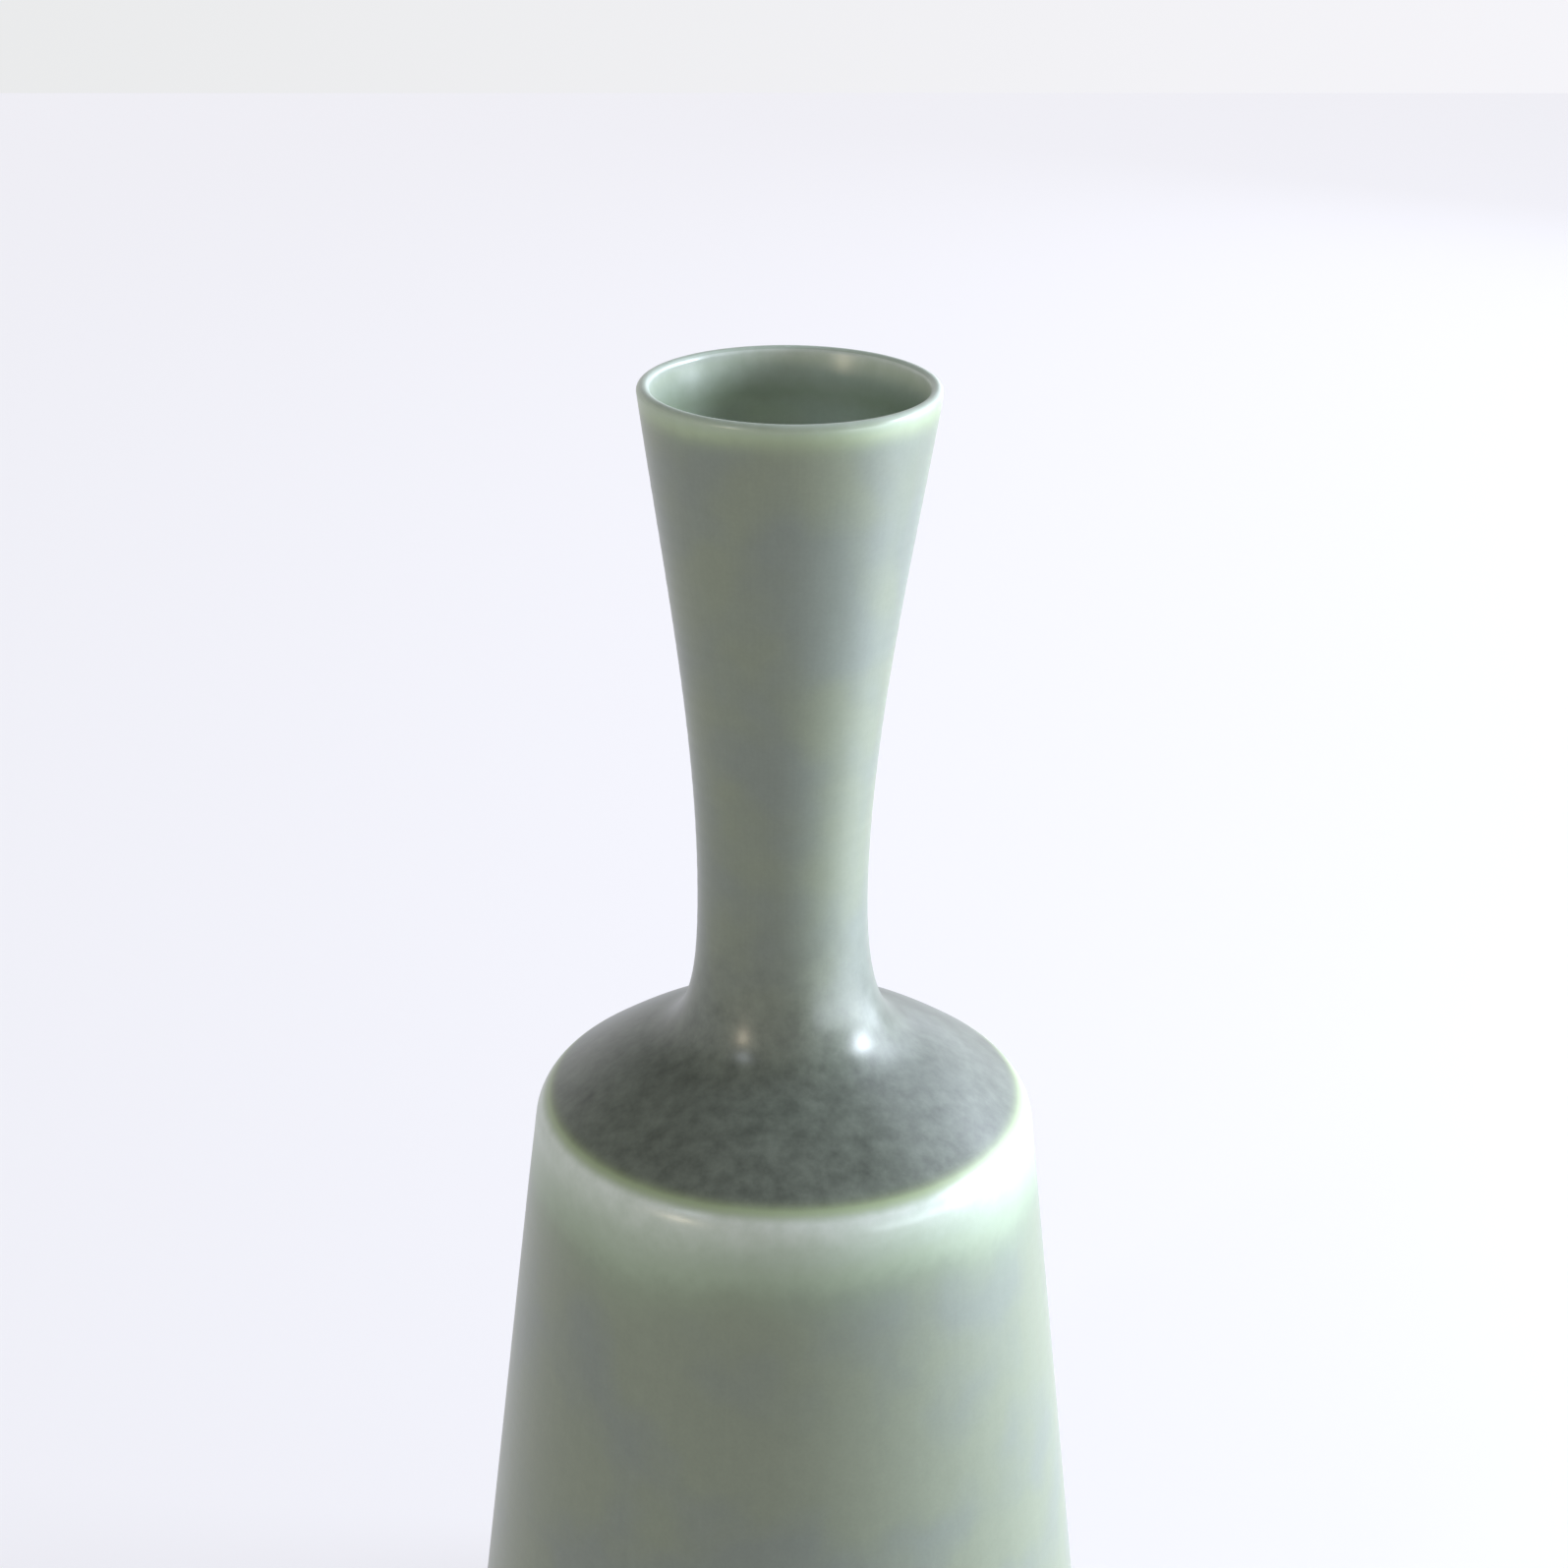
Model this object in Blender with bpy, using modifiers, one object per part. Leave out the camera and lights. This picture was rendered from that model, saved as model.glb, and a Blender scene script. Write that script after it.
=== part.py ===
"""Long-necked stoneware sake bottle (tokkuri), modelled the way a potter builds it.

The clay is four thrown sections joined with slip: a base with a turned foot, a
conical body wall, a shoulder and a trumpet neck whose root flares out to meet the
shoulder. A coat of glaze covers the outside, from over the lip down to a line
above the foot, and a liner coat covers the inside.

Everything is turned about Z. The origin is the centre of the foot's resting
plane. Lengths are in metres, and each profile point is (radius, height).
"""

import math

import bpy

# Driving dimensions of the glazed bottle.
HEIGHT = 0.195
LIP_RADIUS = 0.0175
LIP_THICKNESS = 0.0015
THROAT_RADIUS = 0.0104
THROAT_DROP = 0.0637            # from the lip's top down to the narrowest point
ROOT_DROP = 0.0842              # from the lip's top down to where the neck's root ends
ROOT_RADIUS = 0.0180
RIDGE_DROP = 0.0922             # from the lip's top down to the shoulder's edge
CONE_RADIUS = 0.0431            # radius that the body's cone would have at height 0
CONE_TAPER = 0.1180             # radius lost per metre of height

# Shape of the curves between them.
LIP_FLARE = 0.144               # outward slope of the neck under the lip
BORE_FLARE = 0.180              # outward slope of the bore under the lip
ROOT_SLOPE = 0.46               # fall of the surface per metre outward at the root's end
ROOT_UPRIGHT = 0.0162           # how far the throat's upright line pulls the root's curve
ROOT_SWEEP = 0.0045             # how far the shoulder's slope pulls the root's curve
RIDGE_SLOPE = 0.72              # fall of the shoulder per metre outward at its edge
SHOULDER_PULL = 0.0040          # how far each end's slope pulls the shoulder's curve
RIDGE_ROUND = 0.0023            # length of each side that the edge's rounding takes

# Walls of the glazed bottle.
NECK_WALL = 0.0030
SHOULDER_WALL = 0.0036
BODY_WALL = 0.0036
FLOOR_HEIGHT = 0.0056
FLOOR_ROUND = 0.0060
BORE_ROUND = 0.0040             # rounding where the bore opens into the body
RIDGE_FILLET = 0.0030           # rounding inside the shoulder's edge

# Foot.
HEEL_HEIGHT = 0.0032
FOOT_RADIUS = 0.0396
FOOT_WIDTH = 0.0050
FOOT_RECESS = 0.0013
FOOT_EASE = 0.0004              # eased edges of the resting ring
GLAZE_LINE = 0.0042             # the outer glaze stops at this height

# Glaze coats, the gap behind them, and the seams that the slip fills.
GLAZE = 0.00025
CLAY_INSET = 2 * GLAZE
SEAM = 0.0003

# Steps of each stretch of the profile, and sides of the turned shapes.
NECK_STEPS = 5
ROOT_STEPS = 6
SHOULDER_STEPS = 4
RIDGE_STEPS = 2
BORE_STEPS = 4
ROUND_STEPS = 3
SIDES = 44

CLAY_COLOUR = (0.42, 0.36, 0.30, 1.0)
GLAZE_COLOUR = (0.25, 0.30, 0.25, 1.0)
LINER_COLOUR = (0.22, 0.26, 0.22, 1.0)


def bezier(controls, steps):
    """Points along the Bezier curve of these control points, both ends included."""
    points = []
    for step in range(steps + 1):
        share = step / steps
        row = list(controls)
        while len(row) > 1:
            row = [
                (a[0] + (b[0] - a[0]) * share, a[1] + (b[1] - a[1]) * share)
                for a, b in zip(row, row[1:])
            ]
        points.append(row[0])
    return points


def curve(start, start_pull, end, end_pull, steps):
    """A cubic curve that leaves start along start_pull and reaches end along end_pull."""
    leave = (start[0] + start_pull[0], start[1] + start_pull[1])
    arrive = (end[0] - end_pull[0], end[1] - end_pull[1])
    return bezier([start, leave, arrive, end], steps)


def arc(centre, radius, degrees):
    """Points of a circle at these angles, counted from straight out."""
    return [
        (centre[0] + radius * math.cos(math.radians(angle)), centre[1] + radius * math.sin(math.radians(angle)))
        for angle in degrees
    ]


def inset(points, distance):
    """A falling profile moved towards the axis by distance, square to itself."""
    moved = []
    last = len(points) - 1
    for i, (r, z) in enumerate(points):
        before = points[max(i - 1, 0)]
        after = points[min(i + 1, last)]
        run = after[0] - before[0]
        fall = before[1] - after[1]
        length = math.hypot(run, fall)
        moved.append((r - fall / length * distance, z - run / length * distance))
    return moved


def along(points, distance):
    """The profile without the first stretch, distance long, of its first segment."""
    first, second = points[0], points[1]
    share = distance / math.dist(first, second)
    start = (first[0] + (second[0] - first[0]) * share, first[1] + (second[1] - first[1]) * share)
    return [start] + points[1:]


def cone_radius(height):
    return CONE_RADIUS - CONE_TAPER * height


def lip_centre():
    half = LIP_THICKNESS / 2
    return (LIP_RADIUS - half, HEIGHT - half)


def outside(depth):
    """The outside, depth below the glazed surface: lip, neck, shoulder and wall runs."""
    lip = arc(lip_centre(), LIP_THICKNESS / 2 - depth, (120, 90, 60, 30))
    neck_top = (LIP_RADIUS, lip_centre()[1])
    throat = (THROAT_RADIUS, HEIGHT - THROAT_DROP)
    third = (neck_top[1] - throat[1]) / 3
    neck = curve(neck_top, (-LIP_FLARE * third, -third), throat, (0, -third), NECK_STEPS)

    root_end = (ROOT_RADIUS, HEIGHT - ROOT_DROP)
    sweep = (ROOT_SWEEP, -ROOT_SLOPE * ROOT_SWEEP)
    root = curve(throat, (0, -ROOT_UPRIGHT), root_end, sweep, ROOT_STEPS)

    corner = (cone_radius(HEIGHT - RIDGE_DROP), HEIGHT - RIDGE_DROP)
    slant = RIDGE_ROUND / math.hypot(1, RIDGE_SLOPE)
    shoulder_end = (corner[0] - slant, corner[1] + RIDGE_SLOPE * slant)
    leave = (SHOULDER_PULL, -ROOT_SLOPE * SHOULDER_PULL)
    arrive = (SHOULDER_PULL, -RIDGE_SLOPE * SHOULDER_PULL)
    shoulder = curve(root_end, leave, shoulder_end, arrive, SHOULDER_STEPS)

    wall_top = (cone_radius(corner[1] - RIDGE_ROUND), corner[1] - RIDGE_ROUND)
    ridge = bezier([shoulder_end, corner, wall_top], RIDGE_STEPS)
    glaze_line = (cone_radius(GLAZE_LINE), GLAZE_LINE)

    surface = inset(neck + root[1:] + shoulder[1:] + ridge[1:] + [glaze_line], depth)
    neck_end = NECK_STEPS + ROOT_STEPS
    ridge_end = neck_end + SHOULDER_STEPS + RIDGE_STEPS
    return {
        "neck": lip + surface[: neck_end + 1],
        "shoulder": surface[neck_end : ridge_end + 1],
        "wall": surface[ridge_end:],
    }


def inside(depth):
    """The inside, depth behind the liner's surface: neck, shoulder, wall and floor runs."""
    lip = arc(lip_centre(), LIP_THICKNESS / 2 - depth, (150,))
    bore_top = (LIP_RADIUS - LIP_THICKNESS, lip_centre()[1])
    bore = (THROAT_RADIUS - NECK_WALL, HEIGHT - THROAT_DROP)
    third = (bore_top[1] - bore[1]) / 3
    neck = curve(bore_top, (-BORE_FLARE * third, -third), bore, (0, -third), BORE_STEPS)

    opening = (ROOT_RADIUS - ROOT_SLOPE * SHOULDER_WALL, HEIGHT - ROOT_DROP - SHOULDER_WALL)
    bore_end = (bore[0], opening[1] + ROOT_SLOPE * (opening[0] - bore[0]) + BORE_ROUND)
    opening_pull = (BORE_ROUND, -ROOT_SLOPE * BORE_ROUND)
    mouth = curve(bore_end, (0, -BORE_ROUND), opening, opening_pull, ROUND_STEPS)

    edge_height = HEIGHT - RIDGE_DROP - SHOULDER_WALL
    edge = (cone_radius(edge_height) - BODY_WALL, edge_height)
    shoulder_end = (edge[0] + CONE_TAPER * RIDGE_FILLET, edge[1] - RIDGE_FILLET)
    leave = (SHOULDER_PULL, -ROOT_SLOPE * SHOULDER_PULL)
    arrive = (CONE_TAPER * SHOULDER_PULL, -SHOULDER_PULL)
    shoulder = curve(opening, leave, shoulder_end, arrive, SHOULDER_STEPS)

    round_top = FLOOR_HEIGHT + FLOOR_ROUND
    wall_end = (cone_radius(round_top) - BODY_WALL, round_top)
    corner = (cone_radius(FLOOR_HEIGHT) - BODY_WALL, FLOOR_HEIGHT)
    floor = bezier([wall_end, corner, (corner[0] - FLOOR_ROUND, FLOOR_HEIGHT)], ROUND_STEPS)

    surface = inset(neck + mouth + shoulder[1:] + floor + [(0, FLOOR_HEIGHT)], -depth)
    neck_end = BORE_STEPS + ROUND_STEPS + 1
    shoulder_end = neck_end + SHOULDER_STEPS
    return {
        "neck": lip + surface[: neck_end + 1],
        "shoulder": surface[neck_end : shoulder_end + 1],
        "wall": surface[shoulder_end : shoulder_end + 2],
        "floor": surface[shoulder_end + 1 :],
    }


def ring(outer, inner):
    """A closed profile from its outer and inner sides, both listed from the top down."""
    return outer + inner[::-1]


def joined(*runs):
    """Runs that follow each other, with each shared end point kept once."""
    points = list(runs[0])
    for run in runs[1:]:
        points += run[1:]
    return points


def base_profile():
    """The floor, its upturned edge and the foot, from the axis round to the axis."""
    clay_floor = along(inside(CLAY_INSET)["floor"], SEAM)
    top = clay_floor[0][1]
    edge = inset([(cone_radius(top), top), (cone_radius(HEEL_HEIGHT), HEEL_HEIGHT)], CLAY_INSET)
    foot_inner = FOOT_RADIUS - FOOT_WIDTH
    foot = [
        (FOOT_RADIUS, FOOT_EASE),
        (FOOT_RADIUS - FOOT_EASE, 0),
        (foot_inner + FOOT_EASE, 0),
        (foot_inner, FOOT_EASE),
        (foot_inner - FOOT_RECESS, FOOT_RECESS),
        (0, FOOT_RECESS),
    ]
    return clay_floor[::-1] + edge + foot


def wall_profile():
    outer = along(outside(CLAY_INSET)["wall"], SEAM)
    inner = along(inside(CLAY_INSET)["wall"], SEAM)
    bottom = inner[-1][1]
    outer[-1] = inset([(cone_radius(bottom), bottom), (cone_radius(0), 0)], CLAY_INSET)[0]
    return ring(outer, inner)


def turned(name, profile, closed, colour, roughness, collection):
    """A solid of revolution: the profile turned once round Z by a Screw modifier."""
    points = [(r, 0, z) for r, z in profile]
    edges = [(i, i + 1) for i in range(len(points) - 1)]
    if closed:
        edges.append((len(points) - 1, 0))
    mesh = bpy.data.meshes.new(name)
    mesh.from_pydata(points, edges, [])
    piece = bpy.data.objects.new(name, mesh)
    collection.objects.link(piece)

    screw = piece.modifiers.new("Turn", "SCREW")
    screw.axis = "Z"
    screw.steps = SIDES
    screw.render_steps = SIDES
    screw.use_merge_vertices = True
    screw.merge_threshold = 0.00001
    screw.use_smooth_shade = True

    material = bpy.data.materials.new(name)
    material.use_nodes = True
    shader = material.node_tree.nodes["Principled BSDF"]
    shader.inputs["Base Color"].default_value = colour
    shader.inputs["Roughness"].default_value = roughness
    shader.inputs["Metallic"].default_value = 0.0
    mesh.materials.append(material)
    return piece


def build():
    for thing in list(bpy.data.objects):
        bpy.data.objects.remove(thing, do_unlink=True)
    bottle = bpy.data.collections.new("sake_bottle")
    bpy.context.scene.collection.children.link(bottle)

    clay_out, clay_in = outside(CLAY_INSET), inside(CLAY_INSET)
    neck = ring(clay_out["neck"], clay_in["neck"])
    shoulder = ring(along(clay_out["shoulder"], SEAM), along(clay_in["shoulder"], SEAM))
    turned("base", base_profile(), False, CLAY_COLOUR, 0.8, bottle)
    turned("body_wall", wall_profile(), True, CLAY_COLOUR, 0.8, bottle)
    turned("shoulder", shoulder, True, CLAY_COLOUR, 0.8, bottle)
    turned("neck", neck, True, CLAY_COLOUR, 0.8, bottle)

    coat = ring(joined(*outside(0).values()), joined(*outside(GLAZE).values()))
    liner_face = joined(*inside(0).values())
    liner_back = joined(*inside(GLAZE).values())
    turned("outer_glaze", coat, True, GLAZE_COLOUR, 0.35, bottle)
    turned("liner_glaze", liner_face[::-1] + liner_back, False, LINER_COLOUR, 0.3, bottle)


build()
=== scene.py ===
"""Thrown stoneware sake bottle under a celadon glaze, with its stage.

Every piece is a surface of revolution on a grid: one parameter runs down the
profile, the other runs round the axis. The profile is worked out from a few
driving dimensions, and each skin or clay section is the stretch between two depths
below the glazed surface. Lengths are in metres, heights count from the foot.
"""

import math

import bpy
import numpy as np
from bpy.props import FloatProperty, PointerProperty, StringProperty
from bpy.types import Operator, Panel, PropertyGroup
from mathutils import Matrix, Vector


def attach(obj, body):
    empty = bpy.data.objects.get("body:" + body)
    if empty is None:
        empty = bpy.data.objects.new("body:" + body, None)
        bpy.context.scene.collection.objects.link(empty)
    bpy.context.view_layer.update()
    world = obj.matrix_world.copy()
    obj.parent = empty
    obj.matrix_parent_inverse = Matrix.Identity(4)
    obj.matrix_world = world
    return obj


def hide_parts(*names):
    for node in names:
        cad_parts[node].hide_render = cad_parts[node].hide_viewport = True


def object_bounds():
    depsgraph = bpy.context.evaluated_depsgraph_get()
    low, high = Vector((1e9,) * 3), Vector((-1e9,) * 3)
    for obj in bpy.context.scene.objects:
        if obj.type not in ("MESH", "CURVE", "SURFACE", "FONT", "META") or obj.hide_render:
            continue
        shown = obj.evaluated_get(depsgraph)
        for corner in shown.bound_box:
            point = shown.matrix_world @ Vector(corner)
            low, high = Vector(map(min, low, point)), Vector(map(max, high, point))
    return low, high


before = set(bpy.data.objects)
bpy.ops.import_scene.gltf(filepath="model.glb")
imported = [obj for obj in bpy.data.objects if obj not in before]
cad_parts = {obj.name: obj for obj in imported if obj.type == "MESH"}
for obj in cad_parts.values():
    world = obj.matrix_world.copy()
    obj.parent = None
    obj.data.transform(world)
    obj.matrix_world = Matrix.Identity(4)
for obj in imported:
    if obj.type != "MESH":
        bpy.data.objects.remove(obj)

CAD_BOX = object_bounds()

bl_info = {
    "name": "Celadon Sake Bottle",
    "version": (1, 0, 0),
    "blender": (4, 5, 0),
    "location": "View3D > Sidebar > Bottle",
    "description": "Builds a thrown stoneware bottle with its glaze coats, clay sections, foot and stage",
    "category": "Add Mesh",
}

MM = 0.001


# Sizes and colours that a user would change.


def length(name, description, default):
    """A length in metres, shown in the scene's unit."""
    return FloatProperty(name=name, description=description, default=default, unit="LENGTH", precision=5)


def number(name, description, default):
    return FloatProperty(name=name, description=description, default=default, precision=4)


def colour(name, description, default):
    """An sRGB hex colour."""
    return StringProperty(name=name, description=description, default=default)


class BottleForm(PropertyGroup):
    """The glazed bottle's outline."""

    height: length("Height", "From the foot's resting plane to the top of the lip", CAD_BOX[1].z)
    lip_radius: length("Lip radius", "Outside of the lip", 17.5 * MM)
    lip_thickness: length("Lip thickness", "Across the rounded lip", 1.5 * MM)
    throat_radius: length("Throat radius", "Narrowest part of the neck", 10.4 * MM)
    throat_drop: length("Throat drop", "From the lip down to the throat", 63.7 * MM)
    root_radius: length("Root radius", "Where the neck's flared root ends on the shoulder", 18.0 * MM)
    root_drop: length("Root drop", "From the lip down to the root's end", 84.2 * MM)
    ridge_drop: length("Edge drop", "From the lip down to the shoulder's edge", 92.2 * MM)
    cone_radius: length("Cone radius", "Radius that the wall would have at the resting plane", 43.1 * MM)
    cone_taper: number("Cone taper", "Radius lost per metre of height", 0.118)
    lip_flare: number("Lip flare", "Outward slope of the neck under the lip", 0.144)
    bore_flare: number("Bore flare", "Outward slope of the bore under the lip", 0.180)
    root_slope: number("Root slope", "Fall of the surface per metre outward at the root's end", 0.46)
    ridge_slope: number("Edge slope", "Fall of the shoulder per metre outward at its edge", 0.72)
    neck_wall: length("Neck wall", "Thickness at the throat", 3.0 * MM)
    body_wall: length("Body wall", "Thickness of the wall and the shoulder", 3.6 * MM)
    floor_height: length("Floor height", "Inside floor above the resting plane", 5.6 * MM)
    neck_lean: length("Neck lean", "How far the neck was luted off the body's axis", 0.45 * MM)


class BottleFoot(PropertyGroup):
    """The turned foot."""

    heel_height: length("Heel height", "Where the wall turns in to the foot", 3.2 * MM)
    ring_radius: length("Ring radius", "Outside of the resting ring", 39.6 * MM)
    ring_width: length("Ring width", "Width of the resting ring", 5.0 * MM)
    recess: length("Recess", "Depth of the hollow inside the ring", 1.3 * MM)
    turning_pitch: length("Turning pitch", "Distance between the turning tool's grooves", 1.1 * MM)
    turning_depth: length("Turning depth", "Height of those grooves", 0.035 * MM)


class BottleGlaze(PropertyGroup):
    """The celadon coats."""

    coat: length("Coat thickness", "Thickness of a glaze coat", 0.25 * MM)
    line_height: length("Glaze line", "Height where the outer coat stops", 4.2 * MM)
    line_roll: length("Rolled edge", "How far the coat swells where it stops", 0.22 * MM)
    ring_pitch: length("Throwing pitch", "Distance between the throwing rings on the neck", 2.3 * MM)
    ring_depth: length("Throwing depth", "Height of those rings", 0.014 * MM)
    edge_reach: length("Edge reach", "How far below the shoulder's edge the coat stays thin", 4.6 * MM)
    lip_reach: length("Lip reach", "How far below the lip the coat stays thin", 1.5 * MM)
    liner_reach: length("Liner reach", "How far below the lip the liner stays thin", 3.2 * MM)
    # Painted light: the next two set how far down and how strongly the liner is painted paler near the
    # lip, in place of light reaching into the bore.
    bore_light_reach: length("Pale reach", "How far down the neck the liner stays pale", 26 * MM)
    bore_light_gain: number("Paling", "How much paler the liner is at the lip", 2.1)
    deep: colour("Deep", "Full coat on the wall", "6C7463")
    cool: colour("Cool", "Bluer drifts, and most of the neck", "656D69")
    warm: colour("Warm", "Olive drifts in the full coat", "6E7563")
    dusk: colour("Dusk", "Coat pooled on the shoulder", "5A6057")
    sea: colour("Sea green", "Coat that starts to thin", "78876F")
    thin: colour("Thin", "Coat drawn thin over an edge", "B6BEB6")
    tinge: colour("Tinge", "Yellow-green rim of the thin stretch", "98A57C")


class BottleClay(PropertyGroup):
    """The bare clay of the foot."""

    body: colour("Clay", "Bare fired clay", "C9BEAC")
    toast: colour("Toast", "Clay flashed by the kiln beside the glaze", "B2916B")
    grog: colour("Grog", "Specks in the clay", "7D6A55")


class BottleStage(PropertyGroup):
    """Floor, lights and camera."""

    floor: colour("Floor", "Acrylic floor by its own colour", "6C6C6E")
    glow: colour("Floor glow", "Light that comes up through the floor", "F3F2F8")
    glow_strength: number("Glow strength", "How much light comes up through the floor", 0.77)
    far_edge: length("Far edge", "Where the floor ends behind the bottle", 1293 * MM)
    far_turn: FloatProperty(
        name="Far edge's turn", description="From square on", default=math.radians(3.1), subtype="ANGLE"
    )
    skirting: colour("Skirting", "Surroundings below the horizon at the left", "E8E9E9")
    skirting_lit: colour("Lit skirting", "Surroundings below the horizon at the right", "F8F7FC")
    wall: colour("Walls", "Surroundings just above the horizon", "F3F3F5")
    ceiling: colour("Ceiling", "Surroundings overhead", "7E7E7E")
    window: colour("Window light", "Colour of the daylight", "E4EDFC")
    bulb: colour("Bulb light", "Colour of the small lamp's light", "FFEFD2")
    window_power: FloatProperty(
        name="Window", description="Daylight from the right", default=10.0, unit="POWER"
    )
    bulb_power: FloatProperty(name="Bulb", description="Small warm lamp", default=1.5, unit="POWER")
    lens: FloatProperty(name="Lens", description="Focal length", default=67.07, unit="CAMERA")
    camera_distance: length("Camera distance", "From the axis, level", 322.8 * MM)
    camera_rise: length("Camera rise", "Above the lip's centre", 90.1 * MM)
    camera_side: length("Camera side", "To the right of the axis", -0.4 * MM)
    camera_pitch: FloatProperty(
        name="Pitch", description="Down from level", default=math.radians(23.286), subtype="ANGLE"
    )
    camera_roll: FloatProperty(
        name="Roll", description="About the line of sight", default=math.radians(0.551), subtype="ANGLE"
    )


# Profiles. A profile is an array of (radius, height) rows that runs from the mouth down.


def bezier(controls, steps):
    """Points of the Bezier curve: its controls are blended pair by pair until one is left."""
    share = np.linspace(0, 1, steps + 1)[:, None]
    row = [np.array(point, float)[None, :] for point in controls]
    while len(row) > 1:
        row = [a + (b - a) * share for a, b in zip(row, row[1:])]
    return row[0]


def curve(start, start_pull, end, end_pull, steps):
    """A cubic that leaves start along start_pull and reaches end along end_pull."""
    leave = np.add(start, start_pull)
    arrive = np.subtract(end, end_pull)
    return bezier([start, leave, arrive, end], steps)


def line(start, end, steps):
    return bezier([start, end], steps)


def arc(centre, radius, first, last, steps):
    """Points of a circle between two angles in degrees, counted from straight out."""
    angle = np.radians(np.linspace(first, last, steps + 1))
    return np.stack([centre[0] + radius * np.cos(angle), centre[1] + radius * np.sin(angle)], axis=1)


def joined(*runs):
    """Runs end to end, each shared end point kept once."""
    return np.concatenate([runs[0]] + [run[1:] for run in runs[1:]])


def normals(profile):
    """Unit normals of a profile that runs down: they point away from the axis."""
    step = np.gradient(profile, axis=0)
    normal = np.stack([-step[:, 1], step[:, 0]], axis=1)
    return normal / np.linalg.norm(normal, axis=1)[:, None]


def inset(profile, depth):
    """The profile moved square to itself towards the axis."""
    return profile - normals(profile) * depth


def cone(form, height):
    """Radius of the body's cone at a height."""
    return form.cone_radius - form.cone_taper * height


def lip_centre(form):
    half = form.lip_thickness / 2
    return np.array([form.lip_radius - half, form.height - half])


LIP_MEETING = 140               # angle on the lip's round where the coat meets the liner
ROOT_UPRIGHT = 16.2 * MM        # pulls that shape the neck's root, the shoulder and its edge
ROOT_SWEEP = 4.5 * MM
SHOULDER_PULL = 4.0 * MM
EDGE_ROUND = 2.3 * MM
BORE_ROUND = 4.0 * MM
EDGE_FILLET = 3.0 * MM
FLOOR_ROUND = 6.0 * MM
HEM = 2.0 * MM                  # last stretch of the wall, drawn finer for the glaze's edge


def chained(lip, runs, depth):
    """Joins named runs behind the lip's arc, moved square to themselves by depth.

    Gives the profile and the row at which each run starts.
    """
    whole = inset(joined(*runs.values()), depth)
    rows = {}
    row = len(lip) - 1
    for name, run in runs.items():
        rows[name] = row
        row += len(run) - 1
    return np.concatenate([lip[:-1], whole]), rows


def outside(form, bottom, depth, detail):
    """The outside at a depth below the glazed surface, from the lip down to a height.

    The neck is a cubic from the flared lip to the upright throat, the root a cubic that
    turns out on to the shoulder, the shoulder a low dome and the wall a straight cone.
    """
    centre = lip_centre(form)
    neck_top = (form.lip_radius, centre[1])
    throat = (form.throat_radius, form.height - form.throat_drop)
    third = (neck_top[1] - throat[1]) / 3
    root_end = (form.root_radius, form.height - form.root_drop)
    root_fall = np.array([1, -form.root_slope])
    corner_height = form.height - form.ridge_drop
    corner = np.array([cone(form, corner_height), corner_height])
    shoulder_fall = np.array([1, -form.ridge_slope])
    edge_start = corner - shoulder_fall / np.linalg.norm(shoulder_fall) * EDGE_ROUND
    wall_top = (cone(form, corner_height - EDGE_ROUND), corner_height - EDGE_ROUND)
    hem_top = (cone(form, bottom + HEM), bottom + HEM)

    def steps(count):
        return max(2, round(count * detail))

    lip = arc(centre, form.lip_thickness / 2 - depth, LIP_MEETING, 0, steps(16))
    runs = {
        "neck": curve(neck_top, (-form.lip_flare * third, -third), throat, (0, -third), steps(112)),
        "root": curve(throat, (0, -ROOT_UPRIGHT), root_end, root_fall * ROOT_SWEEP, steps(52)),
        "shoulder": curve(
            root_end, root_fall * SHOULDER_PULL, edge_start, shoulder_fall * SHOULDER_PULL, steps(30)
        ),
        "edge": bezier([edge_start, corner, wall_top], steps(14)),
        "wall": line(wall_top, hem_top, steps(150)),
        "hem": line(hem_top, (cone(form, bottom), bottom), steps(24)),
    }
    return chained(lip, runs, depth)


def inside(form, depth, detail):
    """The inside at a depth behind the liner's face, from the lip to the middle of the floor."""
    centre = lip_centre(form)
    bore_top = (form.lip_radius - form.lip_thickness, centre[1])
    bore = (form.throat_radius - form.neck_wall, form.height - form.throat_drop)
    third = (bore_top[1] - bore[1]) / 3
    fall = np.array([1, -form.root_slope])
    opening = np.array([form.root_radius, form.height - form.root_drop])
    opening = opening - np.array([form.root_slope, 1]) * form.body_wall
    bore_end = (bore[0], opening[1] + form.root_slope * (opening[0] - bore[0]) + BORE_ROUND)
    edge_height = form.height - form.ridge_drop - form.body_wall
    edge_radius = cone(form, edge_height) - form.body_wall
    shoulder_end = (edge_radius + form.cone_taper * EDGE_FILLET, edge_height - EDGE_FILLET)
    wall_pull = (form.cone_taper * SHOULDER_PULL, -SHOULDER_PULL)
    round_top = form.floor_height + FLOOR_ROUND
    wall_end = (cone(form, round_top) - form.body_wall, round_top)
    corner = (cone(form, form.floor_height) - form.body_wall, form.floor_height)
    floor_edge = (corner[0] - FLOOR_ROUND, form.floor_height)

    def steps(count):
        return max(2, round(count * detail))

    lip = arc(centre, form.lip_thickness / 2 - depth, LIP_MEETING, 180, steps(5))
    runs = {
        "neck": curve(bore_top, (-form.bore_flare * third, -third), bore, (0, -third), steps(112)),
        "throat": line(bore, bore_end, steps(16)),
        "mouth": curve(bore_end, (0, -BORE_ROUND), opening, fall * BORE_ROUND, steps(16)),
        "shoulder": curve(opening, fall * SHOULDER_PULL, shoulder_end, wall_pull, steps(24)),
        "wall": line(shoulder_end, wall_end, steps(60)),
        "floor": joined(
            bezier([wall_end, corner, floor_edge], steps(12)),
            line(floor_edge, (0, form.floor_height), steps(24)),
        ),
    }
    profile, rows = chained(lip, runs, -depth)
    profile[-1, 0] = 0
    return profile, rows


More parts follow.
